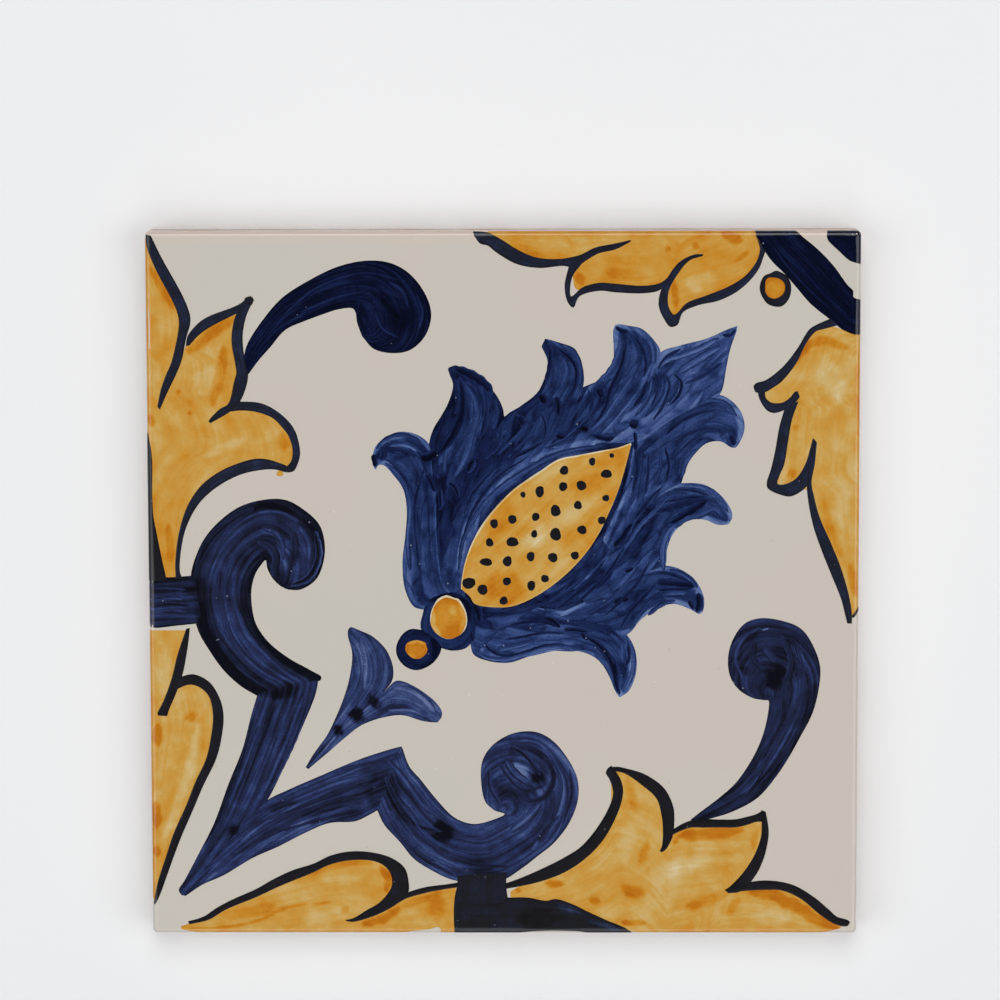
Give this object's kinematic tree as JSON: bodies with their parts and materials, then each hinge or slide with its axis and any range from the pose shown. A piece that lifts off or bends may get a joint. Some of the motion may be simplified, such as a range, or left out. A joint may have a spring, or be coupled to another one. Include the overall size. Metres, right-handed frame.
{
  "type": "azulejo tile",
  "caption": "Square glazed earthenware wall tile, painted by hand with a blue and yellow thistle, scrolls and leaves.",
  "frame": {"origin": "centre of the tile's flat back, which rests on the floor or in the bedding", "axes": "+Z out of the glazed face, +Y towards the top of the painted ornament, +X to its right"},
  "size_m": [0.14, 0.14, 0.008],
  "materials": {
    "tin_glaze": "gloss",
    "fired_clay": "matte",
    "cobalt_blue": "gloss",
    "ochre_yellow": "gloss",
    "outline_blue_black": "gloss"
  },
  "bodies": {
    "root": {"azulejo_tile": "tin_glaze"}
  },
  "joints": []
}
